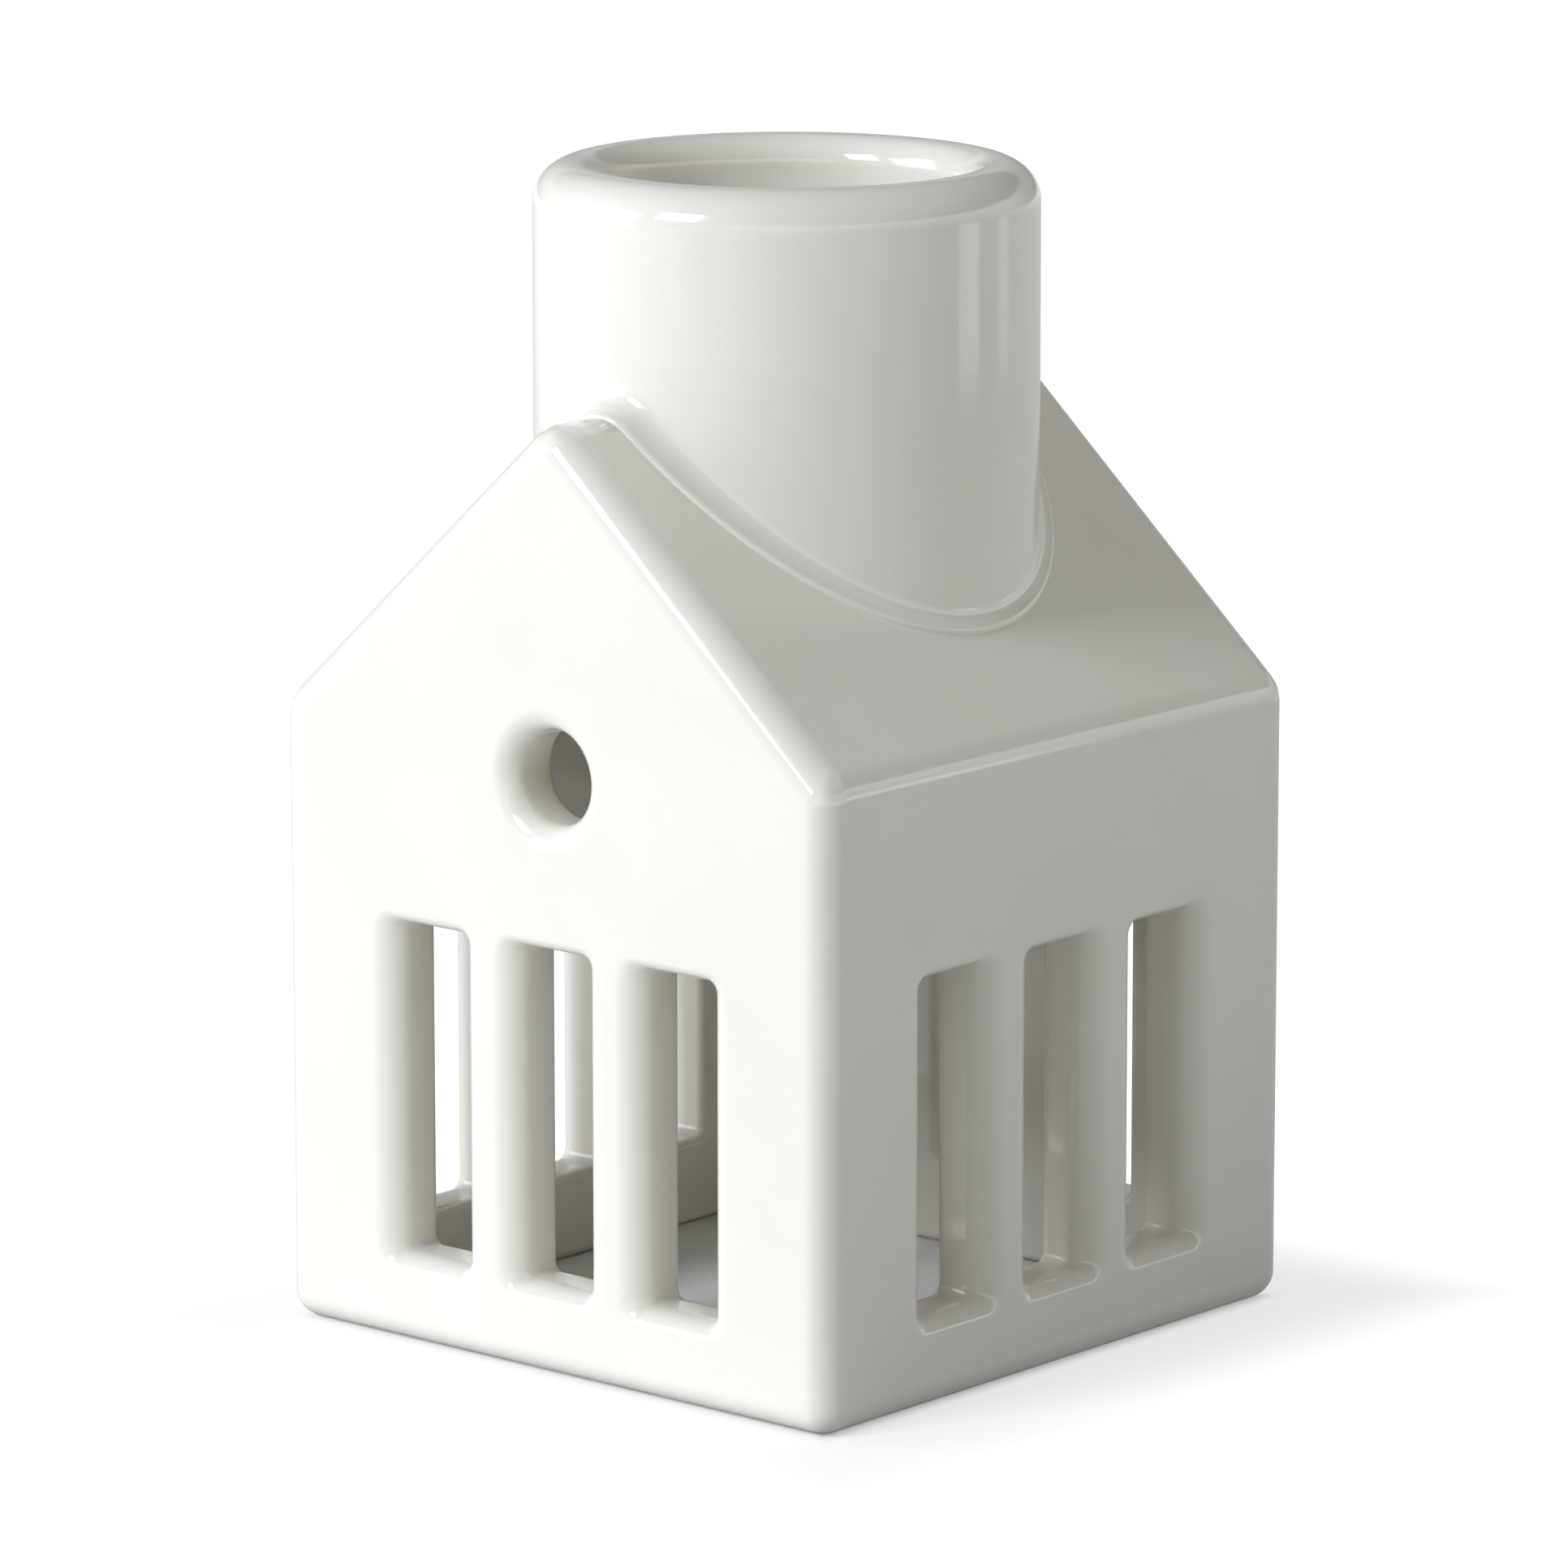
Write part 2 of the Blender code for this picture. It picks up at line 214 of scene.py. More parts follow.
# Painted shade and light: the floor throws back less light under the house, close at its right and far off,
# and full light at the back left under the house
FLOOR_BOUNCE_PAINTED_SHADE = (0.40, 1.0)
FLOOR_EDGE = (-0.026, -0.022)
RIGHT_BOUNCE_START = (0.025, 0.15)
FRONT_BOUNCE_END = (0.018, 0.050)
CORNER_BOUNCE_X = (-0.010, 0.010)
CORNER_BOUNCE_Y = (-0.005, 0.010)
FLOOR_END = (0.20, 0.60)
FLOOR_END_SHARE = (1.0, 0.3)
FLOOR_GLOW = 1.15
FLOOR_GLOW_START = (0.0205, 0.0238)
FLOOR_GLOW_REACH = (0.026, 0.043)
FLOOR_GLOW_SHARE = (0.60, 0.97)
# Painted shade: what the glaze mirrors of the floor is dimmer near the house
FLOOR_MIRRORED = (0.5, 1.0)
FLOOR_MIRRORED_REACH = (0.12, 1.0)

# Lamps: degrees right of the front and above the floor, and watts
KEY = {"azimuth": -12.0, "elevation": 30.0, "distance": 0.90, "size": (0.28, 0.28), "power": 4.85}
LEFT_LIGHT = {"azimuth": -52.0, "elevation": 15.0, "distance": 0.90, "size": (0.60, 0.50), "power": 3.15}
RIGHT_LIGHT = {"azimuth": 125.0, "elevation": 6.0, "distance": 1.20, "size": (0.80, 0.30), "power": 1.5}
STRIP_NEAR = {"azimuth": 128.0, "elevation": 0.0, "distance": 0.20, "size": (0.045, 0.022), "power": 0.0045}
STRIP_FAR = {"azimuth": 152.0, "elevation": 0.0, "distance": 0.20, "size": (0.030, 0.022), "power": 0.0014}
LAMP_TARGET = Vector((0.0, 0.0, 0.040))
STRIP_TARGET = Vector((0.0, 0.0, 0.046))
LAMP_COLOUR = (0.960, 0.975, 1.080)


# Outlines

def arc(centre, radius, start, end, steps):
    """Points on an arc about a centre, from one angle to another in degrees."""
    angles = [math.radians(start + (end - start) * i / steps) for i in range(steps + 1)]
    return [(centre[0] + radius * math.cos(a), centre[1] + radius * math.sin(a)) for a in angles]


def run(start, end, steps):
    """Points between two points, leaving out both."""
    return [
        (start[0] + (end[0] - start[0]) * i / steps, start[1] + (end[1] - start[1]) * i / steps)
        for i in range(1, steps)
    ]


def flare(radius, steps):
    """(height, spread) down a quarter-round mouth, from just above its face at height 0."""
    angles = [math.pi / 2 * i / steps for i in range(1, steps + 1)]
    points = [(radius * (math.cos(a) - 1), radius * (1 - math.sin(a))) for a in angles]
    return [(SKIN, radius)] + points


def hole_profile(mouth_round):
    """(height, spread) down the side of a hole through a wall, rounded at both faces."""
    upper = flare(mouth_round, MOUTH_STEPS)
    lower = [(-WALL - h, spread) for h, spread in reversed(flare(INNER_MOUTH_ROUND, INNER_MOUTH_STEPS))]
    return [(CUT_PAST, mouth_round)] + upper + lower + [(-WALL - CUT_PAST, INNER_MOUTH_ROUND)]


def rounded_rectangle(half_width, half_height, corner, steps):
    """Points round a rectangle with round corners, anticlockwise from its lower right corner."""
    points = []
    for start, side_x, side_y in ((-90, 1, -1), (0, 1, 1), (90, -1, 1), (180, -1, -1)):
        centre = (side_x * (half_width - corner), side_y * (half_height - corner))
        points += arc(centre, corner, start, start + 90, steps)
    return points


def roof_plane_height(x, offset):
    """Height at x of the sloping roof planes, moved outwards by offset."""
    return RIDGE_HEIGHT - abs(x) * math.tan(ROOF_ANGLE) + offset / math.cos(ROOF_ANGLE)


def roof_surface(x, offset):
    """Height and outward normal at x of the roof with its rounded ridge, moved by offset."""
    radius = ROOF_ROUND + offset
    if abs(x) < radius * math.sin(ROOF_ANGLE):
        rise = math.sqrt(radius ** 2 - x ** 2)
        return RIDGE_AXIS_HEIGHT + rise, Vector((x, 0.0, rise)).normalized()
    side = math.copysign(1.0, x)
    normal = Vector((side * math.sin(ROOF_ANGLE), 0.0, math.cos(ROOF_ANGLE)))
    return roof_plane_height(x, offset), normal


# Meshes

def mesh_from(bm, name):
    """A mesh with its faces turned outwards, from a bmesh that ends here."""
    bmesh.ops.recalc_face_normals(bm, faces=bm.faces)
    mesh = bpy.data.meshes.new(name)
    bm.to_mesh(mesh)
    bm.free()
    return mesh


def add_object(name, mesh, collection=None):
    """A mesh object in a collection, or else in the scene's own."""
    obj = bpy.data.objects.new(name, mesh)
    (collection or bpy.context.scene.collection).objects.link(obj)
    return obj


def loft_mesh(name, rings):
    """A closed solid through rings of equal length, capped at both ends."""
    bm = bmesh.new()
    rows = [[bm.verts.new(point) for point in ring] for ring in rings]
    count = len(rows[0])
    for row, below in zip(rows, rows[1:]):
        for i in range(count):
            j = (i + 1) % count
            bm.faces.new((row[i], row[j], below[j], below[i]))
    bm.faces.new(rows[0])
    bm.faces.new(reversed(rows[-1]))
    return mesh_from(bm, name)


def applied(obj):
    """A mesh object's mesh with its modifiers applied."""
    depsgraph = bpy.context.evaluated_depsgraph_get()
    return bpy.data.meshes.new_from_object(obj.evaluated_get(depsgraph))


def shade_evenly(obj, weight):
    """Smooth shading that follows the larger faces."""
    obj.data.shade_smooth()
    normals = obj.modifiers.new("Even shading", "WEIGHTED_NORMAL")
    normals.weight = weight


# House shell

def gable_object(name, offset, bottom, rounds, collection=None):
    """The house's outline, moved outwards by offset, as a prism with rounded edges.

    The rounds are those of the upright corners, of the gables' sloping edges, of the
    ridge and the eaves, and of the foot.
    """
    corner_round, rake_round, roof_round, foot_round = rounds
    half = HOUSE_WIDTH / 2 + offset
    half_depth = HOUSE_DEPTH / 2 + offset
    eave = roof_plane_height(half, offset)
    ridge = roof_plane_height(0.0, offset)
    outline = [(-half, bottom), (half, bottom), (half, eave), (0.0, ridge), (-half, eave)]
    mesh = loft_mesh(name, [[(x, y, z) for x, z in outline] for y in (-half_depth, half_depth)])
    bm = bmesh.new()
    bm.from_mesh(mesh)
    widest = max(rounds)
    weights = bm.edges.layers.float.new("bevel_weight_edge")
    for edge in bm.edges:
        low, high = sorted(vert.co.z for vert in edge.verts)
        if high < bottom + SKIN:
            radius = foot_round
        elif low < bottom + SKIN:
            radius = corner_round
        elif abs(edge.verts[0].co.y - edge.verts[1].co.y) < SKIN:
            radius = rake_round
        else:
            radius = roof_round
        edge[weights] = radius * math.tan(edge.calc_face_angle() / 2) / widest
    bm.to_mesh(mesh)
    bm.free()
    obj = add_object(name, mesh, collection)
    bevel = obj.modifiers.new("Edge rounds", "BEVEL")
    bevel.limit_method = "WEIGHT"
    bevel.width = widest
    bevel.segments = EDGE_STEPS
    bevel.use_clamp_overlap = False
    return obj


def wall_frames():
    """(matrix, is_gable) for each wall: x runs along it, y is up and z points out."""
    frames = []
    for turn in range(4):
        is_gable = turn % 2 == 0
        half = (HOUSE_DEPTH if is_gable else HOUSE_WIDTH) / 2
        matrix = (
            Matrix.Rotation(turn * math.pi / 2, 4, "Z")
            @ Matrix.Translation((0.0, -half, 0.0))
            @ Matrix.Rotation(math.pi / 2, 4, "X")
        )
        frames.append((matrix, is_gable))
    return frames


def rounded_cutter_mesh(name, profile, half_width, half_height, corner, steps):
    """A cutter from (height, spread, end) rows: a rounded rectangle grown by spread and end."""
    rings = []
    for height, spread, end in profile:
        outline = rounded_rectangle(half_width + spread, half_height + end, corner + end, steps)
        rings.append([(x, y, height) for x, y in outline])
    return loft_mesh(name, rings)


def round_cutter_mesh(name, profile, steps):
    """A round cutter from (radius, height) pairs, turned about Z."""
    angles = [2 * math.pi * i / steps for i in range(steps)]
    rings = [
        [(radius * math.cos(a), radius * math.sin(a), height) for a in angles]
        for radius, height in profile
    ]
    return loft_mesh(name, rings)


def slot_mesh():
    """A slot's cutter; its mouth flares less at the sill and the top than at the sides."""
    profile = [(height, spread, spread * SLOT_END_SHARE) for height, spread in hole_profile(MOUTH_ROUND)]
    return rounded_cutter_mesh("slot", profile, SLOT_WIDTH / 2, SLOT_HEIGHT / 2, SLOT_CORNER, CORNER_STEPS)


def window_mesh():
    """A window's cutter, with a flared mouth."""
    profile = [
        (WINDOW_DIAMETER / 2 + spread, height) for height, spread in hole_profile(WINDOW_MOUTH_ROUND)
    ]
    return round_cutter_mesh("window", profile, WINDOW_STEPS)


def base_mouth_mesh():
    """The cutter that rounds the foot ring's inner edge, with its face at height 0."""
    pairs = [(CUT_PAST, INNER_FOOT_ROUND)] + flare(INNER_FOOT_ROUND, INNER_MOUTH_STEPS)
    pairs[-1] = (-INNER_FOOT_ROUND, -SKIN)
    profile = [(height, spread, spread) for height, spread in pairs]
    half_width = HOUSE_WIDTH / 2 - WALL
    half_depth = HOUSE_DEPTH / 2 - WALL
    return rounded_cutter_mesh("base_mouth", profile, half_width, half_depth, INNER_ROUND, EDGE_STEPS)


def add_shell_cutters(cutters):
    """Cutters for the room, the socket's hole, the foot ring, the slots and the windows."""
    gable_object("room", -WALL, -CUT_PAST, (INNER_ROUND,) * 4, cutters)
    hole_radius = TUBE_RADIUS - HOLE_INSET
    hole_ends = [(hole_radius, RIDGE_HEIGHT + CUT_PAST), (hole_radius, TUBE_END - HOLE_PAST)]
    add_object("socket_hole", round_cutter_mesh("socket_hole", hole_ends, TURN_STEPS), cutters)
    mouth = add_object("base_mouth", base_mouth_mesh(), cutters)
    mouth.matrix_world = Matrix.Rotation(math.pi, 4, "X")
    slot = slot_mesh()
    window = window_mesh()
    for matrix, is_gable in wall_frames():
        for i in range(SLOTS_PER_WALL):
            along = (i - (SLOTS_PER_WALL - 1) / 2) * SLOT_PITCH
            place = Matrix.Translation((along, SLOT_SILL + SLOT_HEIGHT / 2, 0.0))
            add_object("slot", slot, cutters).matrix_world = matrix @ place
        if is_gable:
            place = Matrix.Translation((0.0, WINDOW_HEIGHT, 0.0))
            add_object("window", window, cutters).matrix_world = matrix @ place


def build_shell_skin():
    """The shell with fine rounds, cut by every opening at once."""
    cutters = bpy.data.collections.new("Cutters")
    bpy.context.scene.collection.children.link(cutters)
    shell = gable_object("shell_skin", 0.0, 0.0, (CORNER_ROUND, RAKE_ROUND, ROOF_ROUND, FOOT_ROUND))
    add_shell_cutters(cutters)
    boolean = shell.modifiers.new("Openings", "BOOLEAN")
    boolean.operation = "DIFFERENCE"
    boolean.solver = "EXACT"
    boolean.operand_type = "COLLECTION"
    boolean.collection = cutters
    mesh = applied(shell)
    shell.modifiers.clear()
    shell.data = mesh
    for cutter in list(cutters.objects):
        bpy.data.objects.remove(cutter, do_unlink=True)
    bpy.data.collections.remove(cutters)
    shade_evenly(shell, SHELL_NORMAL_WEIGHT)
    return shell


# Candle socket

def bore_outline():
    """(radius, height) from the middle of the seat, up the bore and over the rim."""
    seat_corner = (BORE_RADIUS - SOCKET_FLOOR_ROUND, SEAT_HEIGHT + SOCKET_FLOOR_ROUND)
    inner_rim = (BORE_RADIUS + INNER_RIM_ROUND, TOTAL_HEIGHT - INNER_RIM_ROUND)
    outer_rim = (TUBE_RADIUS - RIM_ROUND, TOTAL_HEIGHT - RIM_ROUND)
    outline = [(0.0, SEAT_HEIGHT)]
    outline += run(outline[0], (seat_corner[0], SEAT_HEIGHT), SEAT_STEPS)
    outline += arc(seat_corner, SOCKET_FLOOR_ROUND, -90, 0, SEAT_ROUND_STEPS)
    outline += run(outline[-1], (BORE_RADIUS, inner_rim[1]), BORE_STEPS)
    outline += arc(inner_rim, INNER_RIM_ROUND, 180, 90, RIM_STEPS)
    outline += arc(outer_rim, RIM_ROUND, 90, 0, RIM_STEPS)
    return outline


def foot_section(outwards):
    """Points down the foot's fillet, over its lip and skirt, and back to the tube's wall."""
    centre = outwards * (TUBE_RADIUS + FOOT_FILLET)
    centre.z, normal = roof_surface(centre.x, FOOT_LIP + FOOT_FILLET)
    to_tube = -outwards
    to_roof = -normal
    section = [
        centre + to_tube.slerp(to_roof, i / FILLET_STEPS) * FOOT_FILLET for i in range(FILLET_STEPS + 1)
    ]
    along = (outwards - normal * outwards.dot(normal)).normalized()
    lip_centre = section[-1] - normal * FOOT_LIP
    for i in range(1, LIP_STEPS + 1):
        turn = math.pi / 2 * i / LIP_STEPS
        section.append(lip_centre + (normal * math.cos(turn) + along * math.sin(turn)) * FOOT_LIP)
    section.append(section[-1] - normal * FOOT_SKIRT)
    inner = outwards * TUBE_RADIUS
    inner.z = roof_surface(inner.x, 0.0)[0] - FOOT_SKIRT / math.cos(ROOF_ANGLE)
    section.append(inner)
    return section


def underside_outline(top):
    """(radius, height) down the tube's wall from a height, round its end and into the recess."""
    end = TUBE_END + TUBE_END_ROUND
    recess_top = SEAT_HEIGHT - SOCKET_FLOOR
    recess_corner = (BORE_RADIUS - RECESS_ROUND, recess_top - RECESS_ROUND)
    outline = run((TUBE_RADIUS, top), (TUBE_RADIUS, end), TUBE_BELOW_STEPS)
    outline += arc((TUBE_RADIUS - TUBE_END_ROUND, end), TUBE_END_ROUND, 0, -90, TUBE_END_STEPS)
    outline += arc((BORE_RADIUS + TUBE_END_ROUND, end), TUBE_END_ROUND, -90, -180, TUBE_END_STEPS)
    outline += arc(recess_corner, RECESS_ROUND, 0, 90, RECESS_ROUND_STEPS)
    outline += run((recess_corner[0], recess_top), (0.0, recess_top), RECESS_STEPS)
    outline.append((0.0, recess_top))
    return outline


def socket_section(angle):
    """The socket's section at an angle round the candle, from its seat to its underside."""
    outwards = Vector((math.cos(angle), math.sin(angle), 0.0))

    def placed(outline):
        return [Vector((outwards.x * radius, outwards.y * radius, height)) for radius, height in outline]

    foot = foot_section(outwards)
    upper = bore_outline()
    upper += run(upper[-1], (TUBE_RADIUS, foot[0].z), TUBE_STEPS)
    return placed(upper) + foot + placed(underside_outline(foot[-1].z))


def build_socket_skin():
    """The socket as a closed loft of its sections, which all meet on the candle's axis."""
    sections = [socket_section(2 * math.pi * i / TURN_STEPS) for i in range(TURN_STEPS)]
    bm = bmesh.new()
    top = bm.verts.new(sections[0][0])
    bottom = bm.verts.new(sections[0][-1])
    columns = [[top] + [bm.verts.new(p) for p in section[1:-1]] + [bottom] for section in sections]
    for column, following in zip(columns, columns[1:] + columns[:1]):
        for j in range(len(column) - 1):
            corners = (column[j], following[j], following[j + 1], column[j + 1])
            bm.faces.new(list(dict.fromkeys(corners)))
    socket = add_object("socket_skin", mesh_from(bm, "socket_skin"))
    shade_evenly(socket, SOCKET_NORMAL_WEIGHT)
    return socket


# Shader nodes

def add_math(tree, operation, first, second):
    """A sum, product or comparison of two sockets or numbers."""
    node = tree.nodes.new("ShaderNodeMath")
    node.operation = operation
    for socket, value in zip(node.inputs, (first, second)):
        if isinstance(value, float):
            socket.default_value = value
        else:
            tree.links.new(value, socket)
    return node.outputs[0]


def add_range(tree, value, source, target):
    """A socket's value moved smoothly from one range to another."""
    node = tree.nodes.new("ShaderNodeMapRange")
    node.interpolation_type = "SMOOTHSTEP"
    node.inputs["From Min"].default_value = source[0]
    node.inputs["From Max"].default_value = source[1]
    node.inputs["To Min"].default_value = target[0]
    node.inputs["To Max"].default_value = target[1]
    tree.links.new(value, node.inputs["Value"])
    return node.outputs["Result"]


def add_blend(tree, factor, first, second):
    """A colour between two colours."""
    node = tree.nodes.new("ShaderNodeMix")
    node.data_type = "RGBA"
    tree.links.new(factor, node.inputs["Factor"])
    for name, value in (("A_Color", first), ("B_Color", second)):
        socket = next(item for item in node.inputs if item.identifier == name)
        if isinstance(value, tuple):
            socket.default_value = value
        else:
            tree.links.new(value, socket)
    return next(item for item in node.outputs if item.identifier == "Result_Color")


def add_shader_mix(tree, share, first, second):
    """A shader between two shader nodes."""
    node = tree.nodes.new("ShaderNodeMixShader")
    tree.links.new(share, node.inputs["Fac"])
    tree.links.new(first.outputs[0], node.inputs[1])
    tree.links.new(second.outputs[0], node.inputs[2])
    return node.outputs[0]


def add_noise(tree, place, noise):
    """Soft noise from 0 to 1, of a scale and a detail."""
    node = tree.nodes.new("ShaderNodeTexNoise")
    node.inputs["Scale"].default_value, node.inputs["Detail"].default_value = noise
    tree.links.new(place, node.inputs["Vector"])
    return node.outputs["Fac"]


def add_axes(tree, place):
    """The X, Y and Z sockets of a vector."""
    node = tree.nodes.new("ShaderNodeSeparateXYZ")
    tree.links.new(place, node.inputs[0])
    return node.outputs


def furthest_side(tree, axes):
    """The distance from the middle along X or Y, whichever is greater."""
    sides = [add_math(tree, "ABSOLUTE", axes[name], 0.0) for name in ("X", "Y")]
    return add_math(tree, "MAXIMUM", *sides)


# Glaze

def glaze_colour(tree, place, axes):
    """Cream white with slight changes of tone, and painted shade within the openings and the house: a
    darker, browner glaze colour there.
    """
    tone_noise = add_range(tree, add_noise(tree, place, TONE_NOISE), NOISE_SPAN, RISE)
    tone = add_blend(tree, tone_noise, GLAZE_LIGHT, GLAZE_DEEP)
    # Painted shade: the walls' inner faces and the inner part of the openings, below the roof's underside,
    # get the darker colour
    painted_shade_share = add_range(tree, furthest_side(tree, axes), INSIDE_REACH, FALL)
    painted_shade_share = add_math(tree, "MULTIPLY", painted_shade_share, add_range(tree, axes["Z"], INSIDE_TOP, FALL))
    return add_blend(tree, painted_shade_share, tone, PAINTED_SHADE_INSIDE)


def bare_share(tree, place, axes):
    """1 on the foot ring's bare clay and 0 above it, with a slightly wavy edge."""
    wave = (-FOOT_RING_WAVE, FOOT_RING_WAVE)
    edge = add_range(tree, add_noise(tree, place, FOOT_RING_NOISE), NOISE_SPAN, wave)
    level = add_math(tree, "ADD", axes["Z"], edge)
    return add_range(tree, level, (FOOT_RING_TOP, FOOT_RING_TOP + FOOT_RING_WAVE), FALL)


def add_bumps(tree, bumps):
    """A normal from (height, distance) bumps, each on top of the one before."""
    normal = None
    for height, distance in bumps:
        node = tree.nodes.new("ShaderNodeBump")
        node.inputs["Distance"].default_value = distance
        tree.links.new(height, node.inputs["Height"])
        if normal is not None:
            tree.links.new(normal, node.inputs["Normal"])
        normal = node.outputs["Normal"]
    return normal


def glaze_material():
    """Gloss glaze with a faint ripple over pale clay, which is bare on the foot ring."""
    material = bpy.data.materials.new("glaze")
    material.use_nodes = True
    tree = material.node_tree
    link = tree.links.new
    shader = tree.nodes["Principled BSDF"]
    shader.inputs["IOR"].default_value = GLAZE_IOR
    place = tree.nodes.new("ShaderNodeTexCoord").outputs["Object"]
    axes = add_axes(tree, place)

    tone = glaze_colour(tree, place, axes)
    bare = bare_share(tree, place, axes)
    grain = add_range(tree, add_noise(tree, place, CLAY_NOISE), CLAY_SPAN, RISE)
    clay = add_blend(tree, grain, CLAY_LIGHT, CLAY_DEEP)
    link(add_blend(tree, bare, tone, clay), shader.inputs["Base Color"])

    polish = add_range(tree, add_noise(tree, place, POLISH_NOISE), NOISE_SPAN, GLAZE_ROUGHNESS)
    dull = add_math(tree, "MULTIPLY", bare, CLAY_ROUGHNESS)
    link(add_math(tree, "MAXIMUM", polish, dull), shader.inputs["Roughness"])

    normal = add_bumps(tree, (
        (add_noise(tree, place, WAVE_NOISE), GLAZE_WAVE),
        (add_noise(tree, place, PEEL_NOISE), GLAZE_PEEL),
        (add_math(tree, "MULTIPLY", grain, bare), CLAY_GRAIN),
    ))
    link(normal, shader.inputs["Normal"])
    return material


# Surrounding and floor

def seen_rays(tree):
    """(1 for camera, glossy and transmission rays, else 0) and (1 for glossy rays, else 0)."""
    path = tree.nodes.new("ShaderNodeLightPath")
    mirrored = path.outputs["Is Glossy Ray"]
    seen = add_math(tree, "MAXIMUM", path.outputs["Is Camera Ray"], mirrored)
    return add_math(tree, "MAXIMUM", seen, path.outputs["Is Transmission Ray"]), mirrored


def mirrored_strength(tree, mirrored, seen, strength):
    """The white background's strength: the first value, but the second in reflections."""
    change = add_math(tree, "SUBTRACT", strength, seen)
    return add_math(tree, "ADD", add_math(tree, "MULTIPLY", mirrored, change), seen)


def ambient_strength(tree, axes):
    """Soft light from all round, weaker from above and from the front."""
    front_share = add_range(tree, axes["Y"], (-1.0, 1.0), AMBIENT_SHARE)
    height = add_range(tree, axes["Z"], (0.0, AMBIENT_TOP), AMBIENT)
    return add_math(tree, "MULTIPLY", height, front_share)


def backdrop_strength(tree, axes):
    """What the glaze mirrors: a low backdrop that is darker at the left, in a dark room."""
    backdrop = add_range(tree, axes["Z"], (0.0, BACKDROP_TOP), BACKDROP_MIRRORED)
    side = add_range(tree, axes["X"], BACKDROP_SIDES, BACKDROP_SHARE)
    below = add_range(tree, axes["Z"], (BACKDROP_TOP, BACKDROP_TOP + BACKDROP_FADE), FALL)
    backdrop = add_math(tree, "MULTIPLY", add_math(tree, "MULTIPLY", backdrop, side), below)
    return add_math(tree, "MAXIMUM", backdrop, ROOM_MIRRORED)


def build_world():
    """A white surrounding; reflections also show the dark room above its backdrop."""
    world = bpy.data.worlds.new("studio")
    bpy.context.scene.world = world
    world.use_nodes = True
    tree = world.node_tree
    tree.nodes.clear()
    output = tree.nodes.new("ShaderNodeOutputWorld")
    lit = tree.nodes.new("ShaderNodeBackground")
    lit.inputs["Color"].default_value = AMBIENT_COLOUR
    white = tree.nodes.new("ShaderNodeBackground")
    white.inputs["Color"].default_value = WHITE
    seen, mirrored = seen_rays(tree)
    axes = add_axes(tree, tree.nodes.new("ShaderNodeTexCoord").outputs["Generated"])
    tree.links.new(ambient_strength(tree, axes), lit.inputs["Strength"])
    strength = mirrored_strength(tree, mirrored, 1.0, backdrop_strength(tree, axes))
    tree.links.new(strength, white.inputs["Strength"])
    tree.links.new(add_shader_mix(tree, seen, lit, white), output.inputs["Surface"])


def painted_shade_floor_bounce(tree, axes, furthest):
    """The share of light thrown back, with painted shade: less under the house, close at its right and far
    off; painted light keeps it full at the back left under the house.
    """
    right = add_range(tree, axes["X"], RIGHT_BOUNCE_START, RISE)
    front = add_range(tree, axes["Y"], FLOOR_EDGE, FALL)
    front = add_math(tree, "MULTIPLY", front, add_range(tree, axes["X"], FRONT_BOUNCE_END, FALL))
    left = add_range(tree, axes["X"], FLOOR_EDGE, FALL)
    corner_left = add_range(tree, axes["X"], CORNER_BOUNCE_X, FALL)
    corner_back = add_range(tree, axes["Y"], CORNER_BOUNCE_Y, RISE)
    bright = add_math(tree, "MULTIPLY", corner_left, corner_back)
    for side in (left, right, front):
        bright = add_math(tree, "MAXIMUM", bright, side)
    bounce_with_painted_shade = add_range(tree, bright, (0.0, 1.0), FLOOR_BOUNCE_PAINTED_SHADE)
    return add_math(tree, "MULTIPLY", bounce_with_painted_shade, add_range(tree, furthest, FLOOR_END, FLOOR_END_SHARE))


def floor_material():
    """Matt white that keeps the house's soft shadow, and glows white away from it."""
    material = bpy.data.materials.new("floor")
    material.use_nodes = True
    tree = material.node_tree
    tree.nodes.clear()
    output = tree.nodes.new("ShaderNodeOutputMaterial")
    axes = add_axes(tree, tree.nodes.new("ShaderNodeNewGeometry").outputs["Position"])
    furthest = furthest_side(tree, axes)
    seen, mirrored = seen_rays(tree)

    matt = tree.nodes.new("ShaderNodeBsdfDiffuse")
    # The light the floor throws back carries painted shade near the house and painted light at its back
    # left
    bounce_with_painted_shade = painted_shade_floor_bounce(tree, axes, furthest)
    tree.links.new(add_blend(tree, seen, bounce_with_painted_shade, FLOOR_SEEN), matt.inputs["Color"])
    glow = tree.nodes.new("ShaderNodeEmission")
    # Painted shade: the floor's mirror image is dimmer near the house
    far = add_range(tree, furthest, FLOOR_MIRRORED_REACH, FLOOR_MIRRORED)
    tree.links.new(mirrored_strength(tree, mirrored, FLOOR_GLOW, far), glow.inputs["Strength"])

    outside = add_range(tree, furthest, FLOOR_GLOW_START, RISE)
    glowing = add_range(tree, furthest, FLOOR_GLOW_REACH, FLOOR_GLOW_SHARE)
    share = add_math(tree, "MULTIPLY", seen, add_math(tree, "MULTIPLY", outside, glowing))
    tree.links.new(add_shader_mix(tree, share, matt, glow), output.inputs["Surface"])
    return material


def build_floor():
    """A white floor that reaches far behind the house."""
    bm = bmesh.new()
    bmesh.ops.create_grid(bm, x_segments=1, y_segments=1, size=FLOOR_REACH)
    floor = add_object("floor", mesh_from(bm, "floor"))
    floor.data.materials.append(floor_material())


# Lamps and camera

def direction(azimuth, elevation):
    """The direction at degrees right of the front and above the floor."""
    turn = math.radians(azimuth)
    rise = math.radians(elevation)
    return Vector((math.sin(turn) * math.cos(rise), -math.cos(turn) * math.cos(rise), math.sin(rise)))


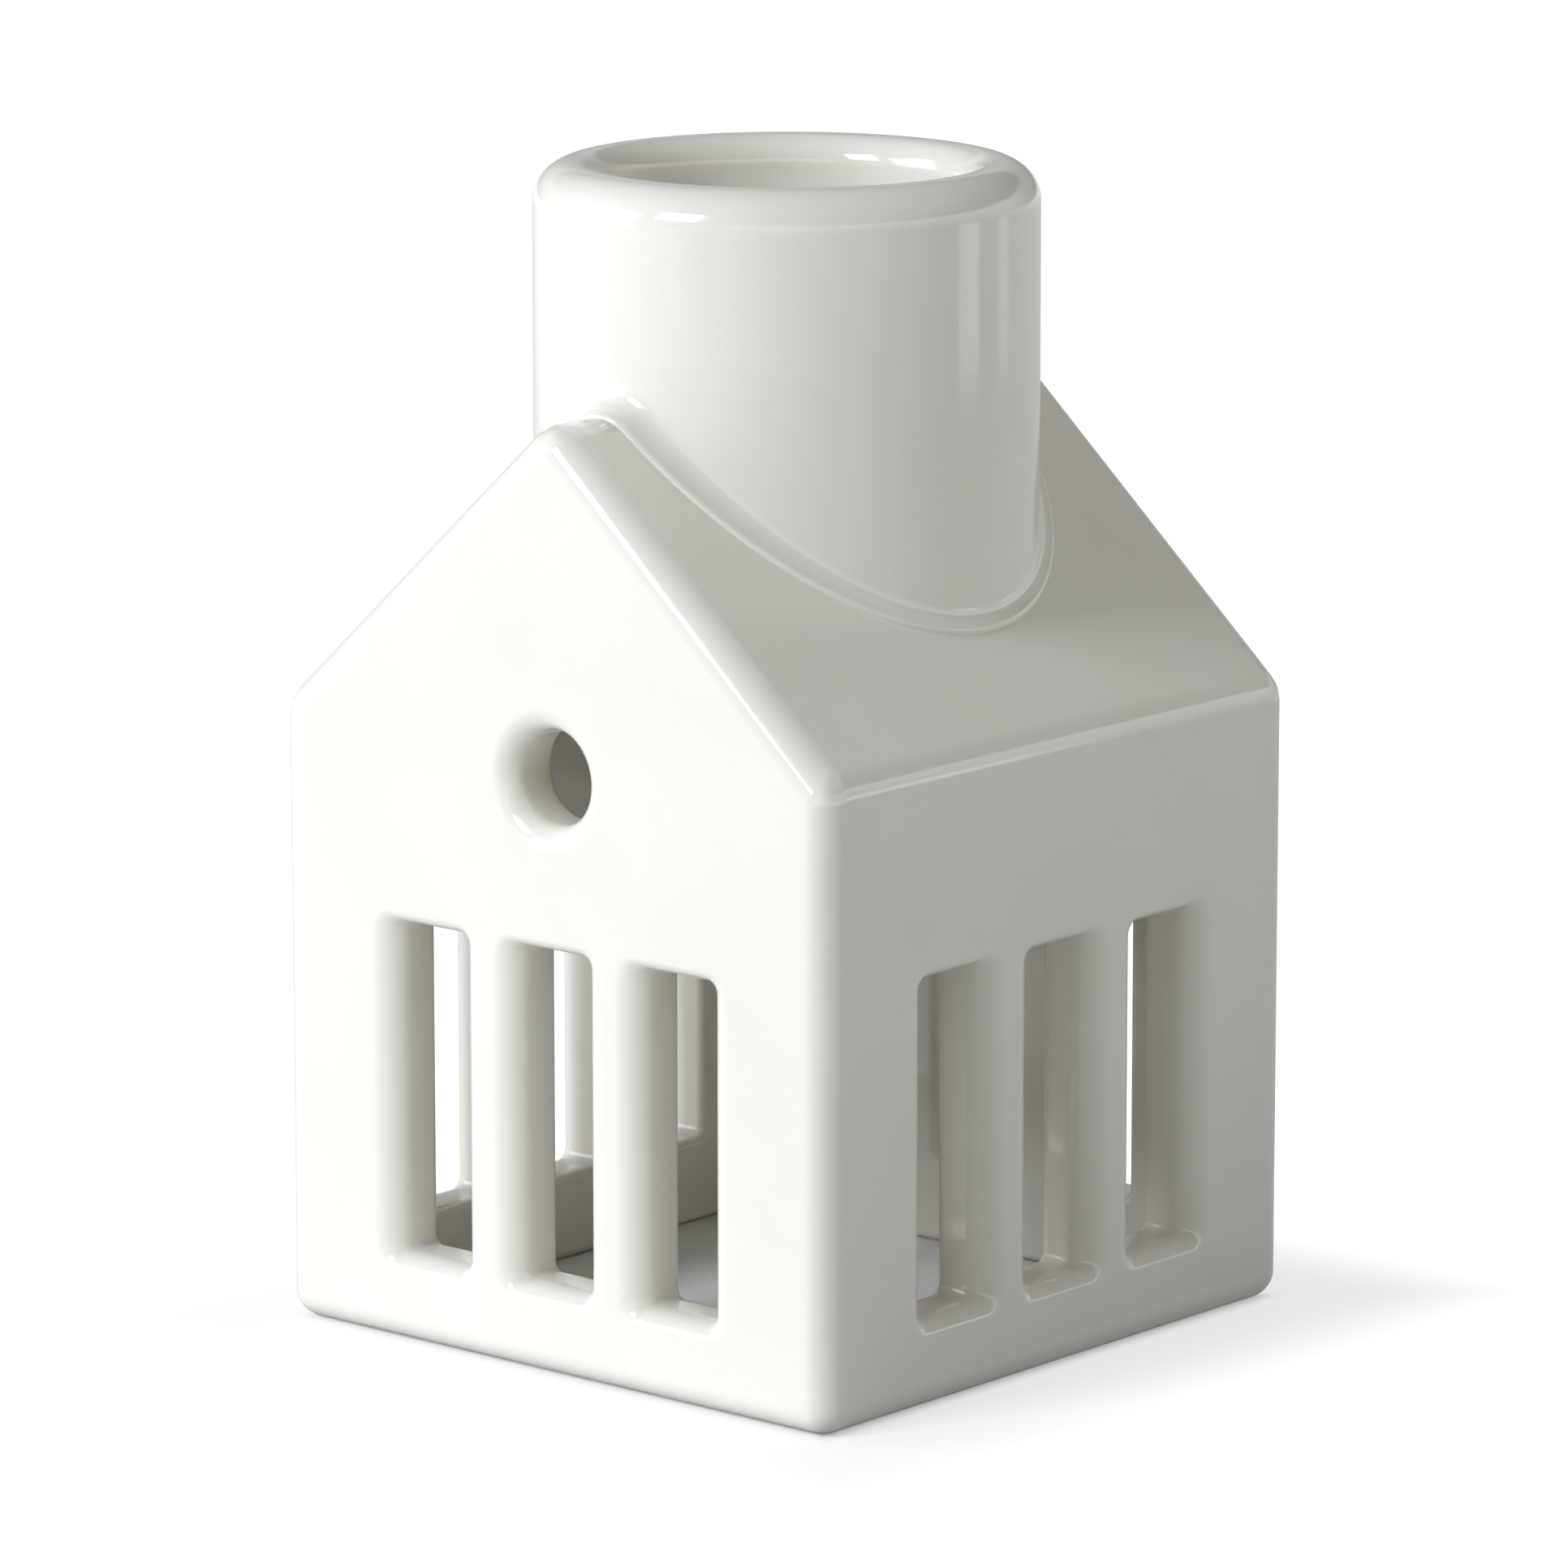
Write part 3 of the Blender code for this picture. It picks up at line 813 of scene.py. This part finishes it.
def add_lamp(name, target, azimuth, elevation, distance, size, power):
    """An area lamp aimed at a point, from a direction and a distance."""
    light = bpy.data.lights.new(name, "AREA")
    light.shape = "RECTANGLE"
    light.size, light.size_y = size
    light.energy = power
    light.color = LAMP_COLOUR
    lamp = bpy.data.objects.new(name, light)
    bpy.context.scene.collection.objects.link(lamp)
    back = direction(azimuth, elevation)
    lamp.location = target + back * distance
    lamp.rotation_euler = back.to_track_quat("Z", "Y").to_euler()
    lamp.visible_camera = False
    return lamp


def build_lights():
    """A small key at the front, broad lights at both sides, and strips that only the glaze mirrors."""
    add_lamp("key", LAMP_TARGET, **KEY)
    add_lamp("left_light", LAMP_TARGET, **LEFT_LIGHT)
    add_lamp("right_light", LAMP_TARGET, **RIGHT_LIGHT).visible_glossy = False
    for name, strip in (("strip_near", STRIP_NEAR), ("strip_far", STRIP_FAR)):
        add_lamp(name, STRIP_TARGET, **strip).visible_diffuse = False


def build_camera():
    """The photograph's camera, with its optical axis off the middle of the picture."""
    data = bpy.data.cameras.new("camera")
    data.sensor_width = SENSOR_WIDTH
    data.lens = FOCAL_PIXELS / IMAGE_SIZE * SENSOR_WIDTH
    data.shift_x = (IMAGE_SIZE / 2 - CENTRE_X) / IMAGE_SIZE
    data.shift_y = (CENTRE_Y - IMAGE_SIZE / 2) / IMAGE_SIZE
    data.clip_start = CAMERA_CLIP_START
    camera = bpy.data.objects.new("camera", data)
    bpy.context.scene.collection.objects.link(camera)
    back = direction(CAMERA_AZIMUTH, CAMERA_ELEVATION)
    camera.location = CAMERA_TARGET + back * CAMERA_DISTANCE
    roll = Quaternion((0.0, 0.0, 1.0), math.radians(CAMERA_ROLL))
    camera.rotation_euler = (back.to_track_quat("Z", "Y") @ roll).to_euler()
    bpy.context.scene.camera = camera


glaze = glaze_material()
for skin, node, slot in (
    (build_shell_skin(), "house_shell", "shell_glaze"),
    (build_socket_skin(), "candle_socket", "socket_glaze"),
):
    skin.data.materials.clear()
    skin.data.materials.append(glaze)
    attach(skin, "root")
    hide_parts(node)

build_world()
build_floor()
build_lights()
build_camera()
bpy.context.scene.view_settings.view_transform = "Standard"
